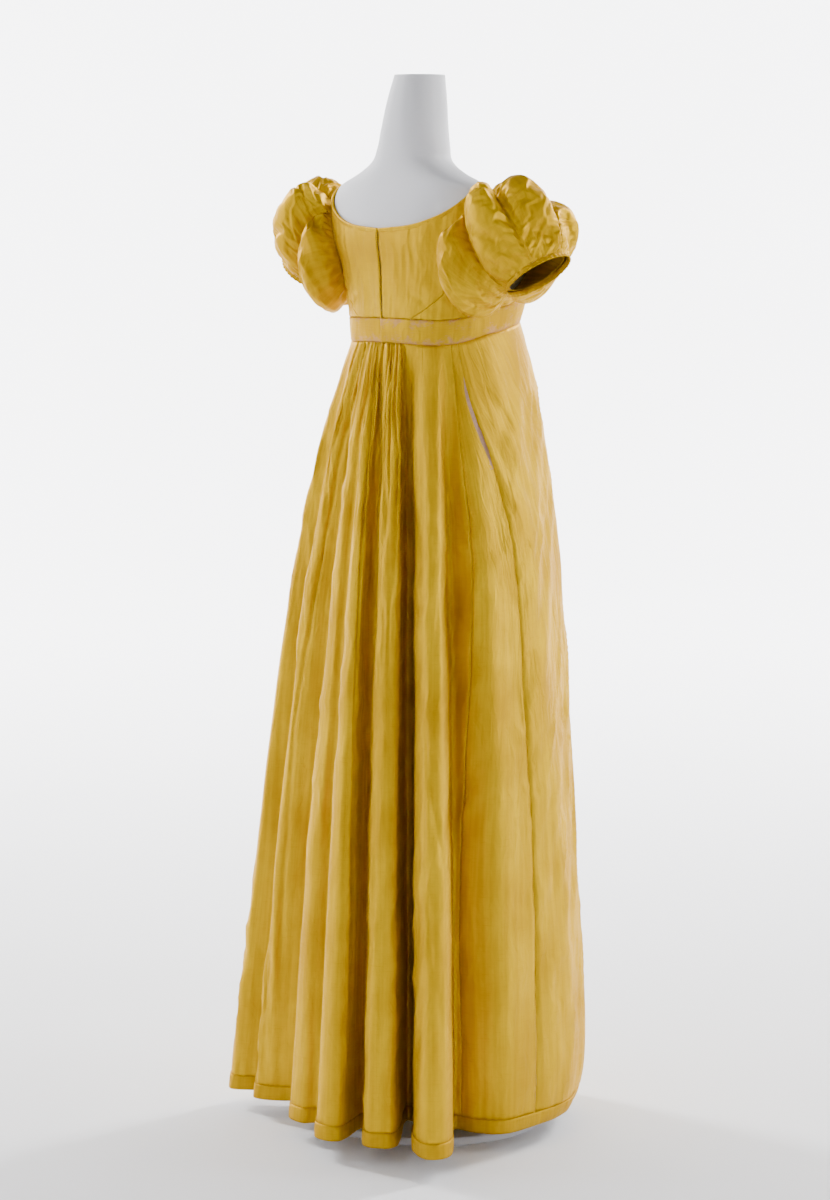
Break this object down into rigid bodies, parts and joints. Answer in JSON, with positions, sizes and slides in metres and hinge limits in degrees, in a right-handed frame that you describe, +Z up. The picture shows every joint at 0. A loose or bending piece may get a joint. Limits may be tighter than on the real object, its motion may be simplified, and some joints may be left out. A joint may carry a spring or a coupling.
{
  "type": "regency gown on a dress form",
  "caption": "High-waisted silk gown with short puffed sleeves and a long skirt gathered at the back, on a limbless dress form.",
  "frame": {"origin": "centre of the underside of the stand's base", "axes": "+Z up; the wearer faces -Y, so the wearer's right is -X"},
  "size_m": [0.5732, 0.4954, 1.567],
  "materials": {
    "silk": "crisp lustrous silk taffeta",
    "silk_trim": "crisp lustrous silk taffeta, doubled",
    "band_silk": "silk taffeta, worn in places",
    "lining_silk": "plain silk lining",
    "facing_linen": "matt linen",
    "form_white": "smooth matt white covering",
    "stand_metal": "satin grey paint"
  },
  "bodies": {
    "root": {"bodice_front": "silk", "bodice_back_left": "silk", "bodice_back_right": "silk", "bodice_side_back_left": "silk", "bodice_side_back_right": "silk", "neck_binding": "silk_trim", "waistband": "band_silk", "skirt_back": "silk", "skirt_side_left": "silk", "skirt_side_right": "silk", "skirt_front": "silk", "hem_band": "silk_trim", "placket_facing": "facing_linen", "sleeve_left": "silk", "sleeve_right": "silk", "sleeve_cord_left_1": "silk_trim", "sleeve_cord_left_2": "silk_trim", "sleeve_cord_left_3": "silk_trim", "sleeve_cord_left_4": "silk_trim", "sleeve_cord_right_1": "silk_trim", "sleeve_cord_right_2": "silk_trim", "sleeve_cord_right_3": "silk_trim", "sleeve_cord_right_4": "silk_trim", "sleeve_lining_left": "lining_silk", "sleeve_lining_right": "lining_silk", "cuff_left": "silk_trim", "cuff_right": "silk_trim", "form_torso": "form_white", "stand_pole": "stand_metal", "stand_base": "stand_metal"}
  },
  "joints": []
}
